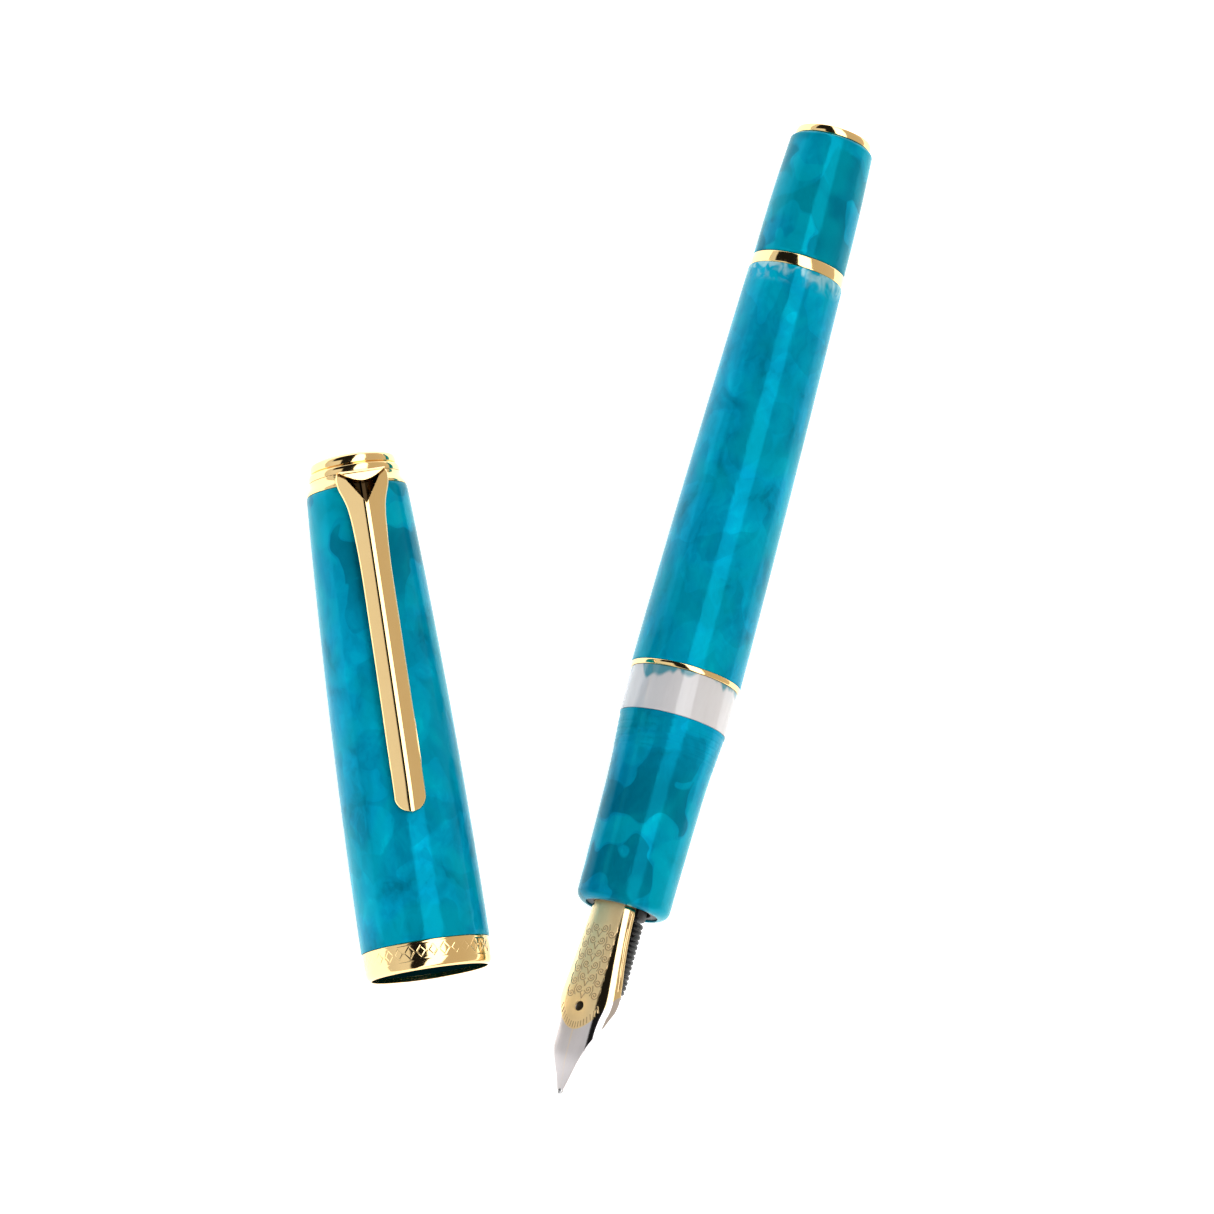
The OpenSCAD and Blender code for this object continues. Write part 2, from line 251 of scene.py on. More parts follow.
def make_mesh(name, shape, matrix, marks=None):
    """Clean mesh in the row frame. Each point keeps its local place and its mark: on the nib the depth of its
    engraving, on the cap and clip how much shade is painted into its colour.
    """
    verts, faces = np.asarray(shape[0], float), shape[1]
    turn = np.array(matrix)
    mesh = bpy.data.meshes.new(name)
    mesh.from_pydata((verts * MM @ turn[:3, :3].T + turn[:3, 3]).tolist(), [], faces)
    place = mesh.attributes.new("place", "FLOAT_VECTOR", "POINT")
    place.data.foreach_set("vector", verts.astype(np.float32).ravel())
    if marks is not None:
        engraving_and_painted_shade = mesh.attributes.new("engraving_and_painted_shade", "FLOAT", "POINT")
        engraving_and_painted_shade.data.foreach_set("value", np.asarray(marks, np.float32).ravel())
    bm = bmesh.new()
    bm.from_mesh(mesh)
    bmesh.ops.remove_doubles(bm, verts=bm.verts, dist=1e-7)
    bmesh.ops.dissolve_degenerate(bm, edges=bm.edges, dist=1e-8)
    bmesh.ops.recalc_face_normals(bm, faces=bm.faces)
    bm.to_mesh(mesh)
    bm.free()
    return mesh


def add_object(name, mesh):
    obj = bpy.data.objects.new(name, mesh)
    bpy.context.scene.collection.objects.link(obj)
    return obj


def piece(name, shape, matrix, material, body, stands_for, sharp=40, marks=None):
    """A finished piece from (verts, faces) in millimetres of the frame that matrix gives."""
    mesh = make_mesh(name, shape, matrix, marks)
    obj = add_object(name, mesh)
    mesh.polygons.foreach_set("use_smooth", [True] * len(mesh.polygons))
    mesh.set_sharp_from_angle(angle=math.radians(sharp))
    mesh.materials.append(material)
    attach(obj, body)
    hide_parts(*stands_for)
    return obj


# ---------------------------------------------------------------- materials

class Shader:
    """A material under construction: a Principled shader and the nodes that feed it."""

    def __init__(self, name, local=True, **sockets):
        self.material = bpy.data.materials.new(name)
        self.material.use_nodes = True
        self.tree = self.material.node_tree
        self.bsdf = self.tree.nodes["Principled BSDF"]
        for socket, value in sockets.items():
            self.bsdf.inputs[socket.replace("_", " ")].default_value = value
        self.millimetres = self.attribute("place", "Vector") if local else self.object_millimetres()

    def attribute(self, name, output):
        node = self.tree.nodes.new("ShaderNodeAttribute")
        node.attribute_name = name
        return node.outputs[output]

    def object_millimetres(self):
        coordinates = self.tree.nodes.new("ShaderNodeTexCoord")
        scale = self.tree.nodes.new("ShaderNodeMapping")
        scale.inputs["Scale"].default_value = (1 / MM, 1 / MM, 1 / MM)
        self.link(coordinates.outputs["Object"], scale.inputs["Vector"])
        return scale.outputs["Vector"]

    def link(self, out, into):
        self.tree.links.new(out, into)

    def feed(self, socket, out):
        self.link(out, self.bsdf.inputs[socket])

    def put(self, value, into):
        """Links an output, or sets a constant."""
        if isinstance(value, bpy.types.NodeSocket):
            self.link(value, into)
        else:
            into.default_value = value

    def stretched(self, x, y, z):
        node = self.tree.nodes.new("ShaderNodeMapping")
        node.inputs["Scale"].default_value = (x, y, z)
        self.link(self.millimetres, node.inputs["Vector"])
        return node.outputs["Vector"]

    def noise(self, scale, detail=2.0, roughness=0.5, distortion=0.0, vector=None):
        node = self.tree.nodes.new("ShaderNodeTexNoise")
        node.inputs["Scale"].default_value = scale
        node.inputs["Detail"].default_value = detail
        node.inputs["Roughness"].default_value = roughness
        node.inputs["Distortion"].default_value = distortion
        self.link(vector or self.millimetres, node.inputs["Vector"])
        return node.outputs["Fac"]

    def bent(self, amount):
        """The place, pushed about by noise so that edges wander."""
        node = self.tree.nodes.new("ShaderNodeTexNoise")
        node.inputs["Scale"].default_value = 0.2
        node.inputs["Detail"].default_value = 1.0
        self.link(self.millimetres, node.inputs["Vector"])
        push = self.tree.nodes.new("ShaderNodeVectorMath")
        push.operation = "MULTIPLY_ADD"
        push.inputs[1].default_value = (2 * amount, 2 * amount, 2 * amount)
        self.link(node.outputs["Color"], push.inputs[0])
        self.link(self.millimetres, push.inputs[2])
        return push.outputs["Vector"]

    def cells(self, scale, vector=None, smoothness=0.3):
        """Smooth cells, each with its own random value."""
        node = self.tree.nodes.new("ShaderNodeTexVoronoi")
        node.feature = "SMOOTH_F1"
        node.inputs["Scale"].default_value = scale
        node.inputs["Smoothness"].default_value = smoothness
        self.link(vector or self.millimetres, node.inputs["Vector"])
        split = self.tree.nodes.new("ShaderNodeSeparateColor")
        self.link(node.outputs["Color"], split.inputs["Color"])
        return split.outputs["Red"]

    def ramp(self, value, stops):
        node = self.tree.nodes.new("ShaderNodeValToRGB")
        node.color_ramp.interpolation = "EASE"
        for i, (at, colour) in enumerate(stops):
            element = node.color_ramp.elements[i] if i < 2 else node.color_ramp.elements.new(at)
            element.position = at
            element.color = (*colour, 1) if isinstance(colour, tuple) else (colour, colour, colour, 1)
        self.link(value, node.inputs["Fac"])
        return node.outputs["Color"]

    def mix(self, factor, a, b, blend="MIX"):
        node = self.tree.nodes.new("ShaderNodeMix")
        node.data_type = "RGBA"
        node.blend_type = blend
        self.put(factor, node.inputs["Factor"])
        for value, socket in ((a, node.inputs["A"]), (b, node.inputs["B"])):
            self.put((*value, 1) if isinstance(value, tuple) else value, socket)
        return node.outputs["Result"]

    def along(self):
        """Distance along the pen or the cap."""
        split = self.tree.nodes.new("ShaderNodeSeparateXYZ")
        self.link(self.millimetres, split.inputs["Vector"])
        return split.outputs["Z"]

    def step(self, value, low, high):
        node = self.tree.nodes.new("ShaderNodeMapRange")
        node.interpolation_type = "SMOOTHSTEP"
        node.inputs["From Min"].default_value = low
        node.inputs["From Max"].default_value = high
        self.put(value, node.inputs["Value"])
        return node.outputs["Result"]

    def math(self, operation, a, b=0.0, c=0.0):
        node = self.tree.nodes.new("ShaderNodeMath")
        node.operation = operation
        for value, socket in zip((a, b, c), node.inputs):
            self.put(value, socket)
        return node.outputs["Value"]

    def bump(self, height, strength, distance_mm, into="Normal"):
        node = self.tree.nodes.new("ShaderNodeBump")
        node.inputs["Strength"].default_value = strength
        node.inputs["Distance"].default_value = distance_mm * MM
        self.link(height, node.inputs["Height"])
        self.feed(into, node.outputs["Normal"])


def pearl_resin():
    """Teal acrylic with cloudy pearl patches, nearly clear where the barrel meets the knob ring."""
    s = Shader("pearl_resin", Metallic=0.16, Roughness=0.12, IOR=1.18)
    s.bsdf.inputs["Specular Tint"].default_value = (0.05, 1.0, 0.9, 1)
    flow = s.stretched(1.0, 1.0, 0.72)
    clouds = s.noise(0.17, 3.0, 0.5, 1.2, flow)
    wisps = s.noise(0.5, 2.5, 0.5, 2.0, flow)
    value = s.math("MULTIPLY_ADD", wisps, 0.24, s.math("MULTIPLY", clouds, 0.76))
    colour = s.ramp(value, [
        (0.34, (0.000, 0.185, 0.300)), (0.44, (0.000, 0.255, 0.430)), (0.52, (0.000, 0.298, 0.500)),
        (0.60, (0.000, 0.350, 0.555)), (0.72, (0.000, 0.490, 0.680))])
    # Petals with clearer edges, stronger at the section and the knob
    petals = s.cells(0.24, s.bent(3.0), 0.3)
    section = s.math("SUBTRACT", 1.0, s.step(s.along(), 14.0, 20.0))
    ends = s.math("ADD", s.step(s.along(), BARREL_END + 0.3, BARREL_END + 1.3), section)
    ends = s.math("MULTIPLY_ADD", ends, 0.45, 0.26)
    dark = s.math("MULTIPLY", s.math("SUBTRACT", 1.0, s.step(petals, 0.30, 0.46)), ends)
    bright = s.math("MULTIPLY", s.step(petals, 0.62, 0.78), s.math("MULTIPLY", ends, 0.6))
    colour = s.mix(s.math("MULTIPLY", ends, 0.55), colour, (0.0, 0.150, 0.250))
    colour = s.mix(dark, colour, (0.0, 0.120, 0.190))
    colour = s.mix(bright, colour, (0.0, 0.390, 0.510))
    greener = s.step(s.noise(0.10, 2.0, 0.5, 0.8), 0.42, 0.62)
    colour = s.mix(s.math("MULTIPLY", greener, 0.45), colour, (0.0, 0.33, 0.42))
    clear_end = s.math("MULTIPLY", s.step(s.along(), 76.6, 79.0), s.math("LESS_THAN", s.along(), 79.5))
    clear_end = s.math("MULTIPLY", clear_end, s.step(s.noise(0.55, 2.0, 0.5, 1.0), 0.40, 0.62))
    colour = s.mix(s.math("MULTIPLY", clear_end, 0.75), colour, (0.40, 0.62, 0.66))
    # Painted shade: where the cap's shell marks its inside, the resin is painted nearly black.
    s.feed("Base Color", s.mix(s.attribute("engraving_and_painted_shade", "Fac"), colour, (0.0, 0.018, 0.022)))
    s.feed("Roughness", s.ramp(wisps, [(0.3, 0.08), (0.7, 0.16)]))
    s.bump(s.noise(0.45, 2.0, 0.5, 1.5, flow), 0.10, 0.25)
    return s.material


def gold_plating():
    """Polished pale gold with faint polishing marks, nearly black where shade is painted into the clip's
    sunken triangle.
    """
    s = Shader("gold_plating", Metallic=1.0, Roughness=0.07)
    tone = s.noise(0.4, 3.0, 0.6)
    gold = s.mix(tone, (0.97, 0.71, 0.35), (0.93, 0.66, 0.30))
    # Painted shade: the clip's sunken triangle and the fine line by its crescent are painted nearly black.
    s.feed("Base Color", s.mix(s.attribute("engraving_and_painted_shade", "Fac"), gold, (0.030, 0.018, 0.008)))
    marks = s.noise(9.0, 4.0, 0.6, 0.0, s.stretched(0.25, 0.25, 2.0))
    s.feed("Roughness", s.ramp(marks, [(0.3, 0.05), (0.75, 0.13)]))
    s.bump(marks, 0.05, 0.01)
    return s.material


def plain_plastic(name, dark, light, roughness):
    """Moulded plastic with a fine grain."""
    s = Shader(name, local=False, Roughness=roughness)
    s.bsdf.inputs["Specular IOR Level"].default_value = 0.25
    grain = s.noise(6.0, 4.0, 0.6)
    s.feed("Base Color", s.mix(grain, dark, light))
    s.feed("Roughness", s.ramp(grain, [(0.25, roughness - 0.08), (0.75, roughness + 0.1)]))
    s.bump(grain, 0.12, 0.02)
    return s.material


def machined_metal(name, dark, light, roughness):
    """Turned metal with fine marks round its axis."""
    s = Shader(name, local=False, Metallic=1.0, Roughness=roughness)
    marks = s.noise(4.0, 3.0, 0.6, 0.0, s.stretched(0.3, 3.0, 0.3))
    s.feed("Base Color", s.mix(marks, dark, light))
    s.feed("Roughness", s.ramp(marks, [(0.25, roughness - 0.06), (0.75, roughness + 0.08)]))
    s.bump(marks, 0.15, 0.01)
    return s.material


def clear_acrylic():
    """Clear acrylic with a pale haze, and ragged tongues of painted teal along its edge by the ring: a
    painted refraction of the teal resin behind it.
    """
    s = Shader("clear_acrylic", IOR=1.65, Transmission_Weight=0.3, Roughness=0.05)
    haze = s.noise(0.5, 3.0, 0.6, 1.0, s.stretched(1.6, 1.6, 0.25))
    pale = s.mix(haze, (0.72, 0.70, 0.72), (0.84, 0.83, 0.85))
    # Painted refraction: ragged tongues of teal by the ring stand in for the resin seen through the acrylic.
    ragged = s.noise(0.28, 2.0, 0.5, 0.6, s.stretched(1.0, 1.0, 0.1))
    reach = s.math("MULTIPLY_ADD", ragged, 5.2, WINDOW_END - 3.7)
    tongue = s.math("MULTIPLY", s.step(s.math("SUBTRACT", s.along(), reach), -0.15, 0.5), 0.85)
    s.feed("Base Color", s.mix(tongue, pale, (0.0, 0.30, 0.40)))
    s.feed("Roughness", s.ramp(haze, [(0.3, 0.03), (0.75, 0.09)]))
    return s.material


def nib_metal():
    """Gold plating behind a curved border, bare bright steel ahead of it, dark in the engraving."""
    s = Shader("nib_metal", Metallic=0.6, Roughness=0.24)
    split = s.tree.nodes.new("ShaderNodeSeparateXYZ")
    s.link(s.millimetres, split.inputs["Vector"])
    across, along = split.outputs["X"], split.outputs["Z"]
    border = s.math("MULTIPLY_ADD", s.math("MULTIPLY", across, across), BORDER_CURVE, BORDER_Z)
    steel = s.step(s.math("SUBTRACT", border, along), -0.03, 0.03)
    marks = s.noise(5.0, 4.0, 0.6, 0.0, s.stretched(2.5, 2.5, 0.25))
    gold = s.mix(marks, (0.96, 0.74, 0.40), (0.88, 0.66, 0.34))
    bright = s.mix(marks, (0.74, 0.70, 0.71), (0.66, 0.62, 0.63))
    engraving_and_painted_shade = s.attribute("engraving_and_painted_shade", "Fac")
    s.feed("Base Color", s.mix(engraving_and_painted_shade, s.mix(steel, gold, bright), (0.40, 0.24, 0.12)))
    polished = s.step(s.math("ABSOLUTE", across), 2.0, 2.35)
    worn = s.math("MULTIPLY_ADD", polished, -0.7, s.math("MULTIPLY_ADD", marks, 0.3, 0.7))
    s.feed("Roughness", s.ramp(worn, [(0.0, 0.05), (1.0, 0.36)]))
    s.feed("Metallic", s.ramp(polished, [(0.0, 0.5), (1.0, 1.0)]))
    s.bump(marks, 0.08, 0.01)
    return s.material


RESIN = pearl_resin()
GOLD = gold_plating()
ACRYLIC = clear_acrylic()
NIB_METAL = nib_metal()
FEED_BLACK = plain_plastic("feed_black", (0.006, 0.006, 0.006), (0.016, 0.016, 0.017), 0.45)
BLACK_PLASTIC = plain_plastic("black_plastic", (0.012, 0.012, 0.013), (0.035, 0.035, 0.038), 0.42)
PALE_PLASTIC = plain_plastic("pale_plastic", (0.72, 0.71, 0.66), (0.82, 0.81, 0.77), 0.40)
RUBBER = plain_plastic("rubber", (0.012, 0.012, 0.012), (0.030, 0.030, 0.030), 0.70)
BRASS = machined_metal("plain_brass", (0.62, 0.43, 0.17), (0.76, 0.56, 0.26), 0.28)
STEEL = machined_metal("rod_steel", (0.55, 0.55, 0.56), (0.68, 0.68, 0.69), 0.26)

# ---------------------------------------------------------------- the pen's turned parts

def threaded(start, end, pitch, depth, chosen):
    """Warp that raises a right-handed helical ridge by depth where chosen(radius) holds."""
    def warp(r, z, a):
        phase = (z / pitch - a / (2 * math.pi)) % 1.0
        ridge = 0.5 - 0.5 * np.cos(2 * math.pi * phase)
        ridge = smooth_step(ridge, 0.0, 0.45)
        fade = smooth_step(z, start, start + 0.6 * pitch) * (1 - smooth_step(z, end - 0.6 * pitch, end))
        return r + depth * ridge * fade * chosen(r), z
    return warp


def section_shape():
    z = np.linspace(1.6, THREAD_START, 60)
    outer = spline(z, [
        (1.0, 5.55), (1.6, 5.585), (4.2, 5.61), (7.0, 5.67), (9.9, 5.71), (12.75, 5.77), (15.6, 5.84),
        (THREAD_START, THREAD_START_R)])
    waist = np.stack([outer, z], axis=1)
    lip = [(4.38 + 1.2 * math.sin(t), 1.2 * (1 - math.cos(t))) for t in np.linspace(0, math.radians(86), 14)]
    thread = dense(np.array([(THREAD_START_R, THREAD_START), (6.31, THREAD_END)]), 0.05, closed=False)
    rear = rounded([
        (6.33, THREAD_END + 0.05, 0), (6.38, THREAD_END + 0.2, 0.08), (6.40, SECTION_END - GAP, 0.06),
        (CHAMBER_R + GAP, SECTION_END - GAP, 0), (CHAMBER_R + GAP, 15.0, 0), (COLLAR_R, 15.0, 0),
        (COLLAR_R, 0.06, 0)], closed=False)
    outline = np.concatenate([lip, waist[1:], thread[1:], rear])
    outer_side = lambda r: (r > 5.9).astype(float)
    return turned(outline, segments=220, warp=threaded(
        THREAD_START, THREAD_END, THREAD_PITCH, THREAD_DEPTH, outer_side))


def chamber_shape():
    return turned(dense(rounded([
        (CHAMBER_R - 0.3, 16.5, 0), (CHAMBER_R, 16.8, 0), (CHAMBER_R, SECTION_END + GAP, 0),
        (6.43, SECTION_END + GAP, 0.05), (6.45, WINDOW_END - GAP, 0.05), (CHAMBER_R, WINDOW_END - GAP, 0),
        (CHAMBER_R, CHAMBER_END, 0), (INK_R, CHAMBER_END, 0), (INK_R, 16.5, 0)]), 1.5))


def ring_shape(inner, outer_low, outer_high, low, high, fillet, belly=0.0):
    """Metal ring with softened edges and a slightly convex side."""
    middle = (low + high) / 2
    outer_middle = (outer_low + outer_high) / 2 + belly
    return turned(rounded([
        (inner, low, 0), (outer_low, low, fillet), (outer_middle, middle, fillet),
        (outer_high, high, fillet), (inner, high, 0)], steps=6), segments=200)


def barrel_shape():
    z = np.linspace(BARREL_START + 0.25, BARREL_END - 0.2, 70)
    side = np.stack([barrel_radius(z), z], axis=1)
    rims = [(CHAMBER_R + GAP, BARREL_START + GAP), (BARREL_R - 0.06, BARREL_START + GAP),
            (BARREL_R - 0.01, BARREL_START + 0.10)]
    back = [(BARREL_END_R - 0.03, BARREL_END - 0.06), (BARREL_END_R - 0.10, BARREL_END),
            (HOUSING_R, BARREL_END), (HOUSING_R, 60.0), (CHAMBER_R + GAP, 60.0)]
    return turned(np.concatenate([rims, side, back]), segments=200)


def knob_shape():
    z = np.linspace(KNOB_START + 0.3, KNOB_END - 1.7, 30)
    radius = spline(z, [(KNOB_START, 5.59), (86, 5.50), (90, 5.37), (KNOB_END - 1.7, 5.14)])
    side = np.stack([radius, z], axis=1)
    front = rounded([
        (KNOB_BORE_R, KNOB_START, 0), (5.52, KNOB_START, 0.12), (5.59, KNOB_START + 0.3, 0)], closed=False)
    back = rounded([
        (5.14, KNOB_END - 1.7, 0), (5.07, KNOB_END - 0.35, 0.9), (4.62, KNOB_END, 0.2),
        (BUSH_BORE_R, KNOB_END, 0), (BUSH_BORE_R, KNOB_END - 2.6, 0), (KNOB_BORE_R, 88, 0)],
        closed=False, steps=8)
    return turned(np.concatenate([front, side, back[1:]]), segments=200)


def knob_finial_shape():
    dome_r, dome_rise = 3.95, 0.72
    dome = [(dome_r * math.cos(t), KNOB_END + 1.0 + dome_rise * math.sin(t))
            for t in np.linspace(0.15, math.pi / 2, 14)]
    rim = rounded([
        (0.0, KNOB_END + 0.03, 0), (4.60, KNOB_END + 0.03, 0.12), (4.68, KNOB_END + 0.5, 0.3),
        (4.55, KNOB_END + 0.98, 0.16), (4.05, KNOB_END + 1.02, 0.1), (dome_r, KNOB_END + 1.06, 0)],
        closed=False, steps=6)
    outline = np.concatenate([rim, dome[1:]])
    outline[-1, 0] = 0.0
    return turned(outline, closed=False, segments=200)


piece("section_grip", section_shape(), PEN, RESIN, "pen_body", ["section"])
piece("ink_window", chamber_shape(), PEN, ACRYLIC, "pen_body", ["ink_chamber"])
piece("barrel_trim_ring",
      ring_shape(CHAMBER_R + GAP, 6.55, 6.62, WINDOW_END + GAP, BARREL_START, 0.12, 0.05),
      PEN, GOLD, "pen_body", ["barrel_ring"])
piece("barrel_shell", barrel_shape(), PEN, RESIN, "pen_body", ["barrel"])
piece("knob_trim_ring",
      ring_shape(HOUSING_R, 5.66, 5.62, BARREL_END + GAP, BARREL_END + 1.5, 0.18, 0.04),
      PEN, GOLD, "pen_body", ["knob_ring"])
piece("turning_knob", knob_shape(), PEN, RESIN, "filler_knob", ["knob"])
piece("knob_end_cap", knob_finial_shape(), PEN, GOLD, "filler_knob", ["knob_finial"])

# ---------------------------------------------------------------- nib and feed

NIB_THICKNESS = 0.24
SHANK_END = 12.0
HOLE_Z = HOLE_FROM_TIP - NIB_LENGTH
HOLE_R = 0.62
SLIT_HALF = 0.05
ENGRAVED_DEPTH = 0.03
BEAK_END = 5.4 - NIB_LENGTH
# Along the nib: tilt of its edges in degrees, height of its middle, half of its width and how flat its
# middle is
NIB_EDGE = [
    (-22.75, 3), (-19, 9), (-17.3, 20), (-15.45, 44), (-14.5, 56), (-13.4, 66), (-12.5, 72), (-11.4, 75),
    (-9.5, 75), (-7, 73), (-4, 71), (0, 72), (12, 72)]
NIB_TOP = [(-22.75, 2.39), (-21, 2.55), (-19, 2.93), (-17.0, 3.02), (-6, 3.02), (12, 3.02)]
NIB_HALF = [
    (-22.75, 0.24), (-20.9, 0.86), (-19.1, 1.55), (-17.3, 2.25), (-15.45, 3.0), (-14.5, 3.34), (-13.4, 3.68),
    (-12.5, 3.98), (-11.4, 4.12), (-9.5, 3.95), (-7, 3.62), (-4, 3.3), (0, 3.02), (12, 2.98)]
NIB_FLATNESS = [(-22.75, 1.2), (-17, 1.7), (-15, 1.9), (-4, 1.9), (-1, 1.7), (12, 1.4)]


def nib_profile(z, share):
    """Outer face at station z: points, normals and arc distances at the shares -1 to 1 of its width."""
    t = np.linspace(0, 1, 121)
    tilt = math.radians(float(spline(z, NIB_EDGE))) * t ** float(spline(z, NIB_FLATNESS))
    middle = (tilt[1:] + tilt[:-1]) / 2
    out = np.concatenate([[0], np.cumsum(np.cos(middle))]) / 120
    down = np.concatenate([[0], np.cumsum(np.sin(middle))]) / 120
    arc = float(spline(z, NIB_HALF)) / out[-1]
    side, at = np.sign(share), np.abs(share)
    angle = side * np.interp(at, t, tilt)
    height = float(spline(z, NIB_TOP)) - arc * np.interp(at, t, down)
    points = np.stack([side * arc * np.interp(at, t, out), height], axis=-1)
    return points, np.stack([np.sin(angle), np.cos(angle)], axis=-1), share * arc


def segment_distance(p, a, b):
    """Distance of each point from the nearest place on the segment from a to b."""
    d = b - a
    t = np.clip(((p - a) @ d) / (d @ d), 0, 1)
    return np.hypot(*(p - a - t[..., None] * d).T).T


def line_distance(p, points):
    best = np.full(p.shape[:-1], 1e9)
    for a, b in zip(points[:-1], points[1:]):
        best = np.minimum(best, segment_distance(p, np.array(a, float), np.array(b, float)))
    return best


def scroll(x, z, size, turns, hand, lean):
    """Points of a spiral scroll whose tail leaves towards lean degrees."""
    out = []
    for t in np.linspace(0, 1, int(16 * turns)):
        a = math.radians(lean) + hand * 2 * math.pi * turns * t
        r = size * (0.12 + 0.88 * (1 - t))
        out.append((x + r * math.cos(a), z + r * math.sin(a)))
    return out


def engraving(across, z, edge):
    """Depth of the ornament, 0 to 1, at arc distances across and stations z of a nib that ends at edge."""
    p = np.stack([np.abs(across), z], axis=-1)
    lines = []
    # Mirrored scrolls in two columns with leaves between them
    for middle in (-3.0, -4.5, -6.0, -7.5, -9.0, -10.5):
        lines.append((scroll(0.62, middle, 0.48, 1.6, 1, 200), 0.05))
        lines.append((scroll(1.66, middle - 0.6, 0.5, 1.6, -1, 20), 0.05))
        lines.append(([(1.15, middle + 0.5), (1.3, middle - 0.1), (1.05, middle - 0.7)], 0.05))
        lines.append(([(0.3, middle - 0.5), (0.12, middle - 0.8), (0.02, middle - 1.1)], 0.05))
        lines.append(([(2.2, middle + 0.3), (2.28, middle - 0.2), (2.1, middle - 0.6)], 0.04))
    # Rays behind the plating's border
    for step in range(8):
        x = 0.18 + 0.36 * step
        border = BORDER_Z + BORDER_CURVE * x * x
        lines.append(([(x, border + 0.22), (x * 0.9, border + 0.85)], 0.045))
    depth = np.zeros(across.shape)
    for points, half in lines:
        depth = np.maximum(depth, 1 - smooth_step(line_distance(p, points), half * 0.5, half * 1.6))
    # Two fine lines along the edge
    for inset in (0.3, 0.5):
        depth = np.maximum(depth, 1 - smooth_step(np.abs(edge - np.abs(across) - inset), 0.02, 0.06))
    return depth * (z > BORDER_Z + 0.12 + BORDER_CURVE * across ** 2)


def nib_shape():
    """Nib skin as closed loops, with the engraving pressed into the outer face."""
    stations = np.concatenate([np.linspace(-22.75, -15.5, 110), np.linspace(-15.45, -0.4, 330),
                               np.linspace(0.0, SHANK_END, 8)])
    share = np.linspace(-1, 1, 171)
    inner_share = np.linspace(1, -1, 41)
    loops, marks = [], []
    for z in stations:
        points, normals, across = nib_profile(z, share)
        groove = np.zeros(share.shape)
        if BORDER_Z < z < -0.5:
            groove = engraving(across, np.full(share.shape, z), across[-1])
        skin = points - ENGRAVED_DEPTH * groove[:, None] * normals
        under_points, under_normals, _ = nib_profile(z, inner_share)
        under = under_points - NIB_THICKNESS * under_normals
        ends = []
        for i, turn in ((-1, np.linspace(0, math.pi, 6)[1:-1]), (0, np.linspace(math.pi, 0, 6)[1:-1])):
            sign = 1 if i == -1 else -1
            out = np.array([normals[i][1], -normals[i][0]]) * sign
            centre = points[i] - NIB_THICKNESS / 2 * normals[i]
            ends.append([centre + NIB_THICKNESS / 2 * (math.cos(t) * normals[i] + 0.8 * math.sin(t) * out)
                         for t in turn])
        loop = np.concatenate([skin, ends[0], under, ends[1]])
        loops.append(np.column_stack([loop, np.full(len(loop), z)]))
        marks.append(np.concatenate([groove, np.zeros(len(loop) - len(groove))]))
    verts, faces = lofted(loops)
    return verts, faces, np.concatenate(marks)


def cutter(name, shape, matrix):
    return add_object(name, make_mesh(name, shape, matrix))


def box_shape(low, high):
    (x0, y0, z0), (x1, y1, z1) = low, high
    verts = [(x, y, z) for z in (z0, z1) for y in (y0, y1) for x in (x0, x1)]
    faces = [(0, 2, 3, 1), (4, 5, 7, 6), (0, 1, 5, 4), (2, 6, 7, 3), (0, 4, 6, 2), (1, 3, 7, 5)]
    return verts, faces


def cut(obj, tools):
    """Cuts the tools out of obj for good and deletes them."""
    for tool in tools:
        modifier = obj.modifiers.new("cut", "BOOLEAN")
        modifier.operation = "DIFFERENCE"
        modifier.solver = "EXACT"
        modifier.object = tool
    bpy.context.view_layer.update()
    graph = bpy.context.evaluated_depsgraph_get()
    made = bpy.data.meshes.new_from_object(obj.evaluated_get(graph))
    obj.modifiers.clear()
    old, name = obj.data, obj.data.name
    obj.data = made
    bpy.data.meshes.remove(old)
    made.name = name
    for tool in tools:
        bpy.data.objects.remove(tool)


def make_nib():
    verts, faces, marks = nib_shape()
    nib = piece("nib_blade", (verts, faces), NIB, NIB_METAL, "pen_body", ["nib"], 35, marks)
    turn = np.linspace(0, 2 * math.pi, 48, endpoint=False)
    x, z = HOLE_R * np.cos(turn), HOLE_Z + HOLE_R * np.sin(turn)
    hole = [np.stack([x, np.full(48, y), z], axis=1) for y in (1.5, 5.0)]
    cut(nib, [
        cutter("hole_tool", lofted(hole), NIB),
        cutter("slit_tool", box_shape((-SLIT_HALF, 0.5, -NIB_LENGTH - 1), (SLIT_HALF, 5, HOLE_Z)), NIB)])


def tipping_shape():
    """Two small halves of the tipping ball, split by the slit."""
    halves = []
    middle = np.array([0.0, 2.22, -NIB_LENGTH + 0.12])
    for sign in (1, -1):
        rows = []
        for lat in np.linspace(-math.pi / 2, math.pi / 2, 15):
            lon = np.linspace(-math.pi / 2, math.pi / 2, 17)
            x = np.cos(lat) * np.cos(lon)
            rows.append(np.stack([sign * (0.035 + 0.36 * x), 0.30 * np.cos(lat) * np.sin(lon),
                                  np.full(17, 0.40 * math.sin(lat))], axis=1) + middle)
        halves.append(lofted(rows))
    return joined(*halves)


def fin_loop(z, radius, top):
    """Lower part of a disc, cut off level at height top."""
    start = math.asin(top / radius)
    angles = np.linspace(start, -math.pi - start, 40)
    return np.stack([radius * np.cos(angles), radius * np.sin(angles), np.full(40, z)], axis=1)


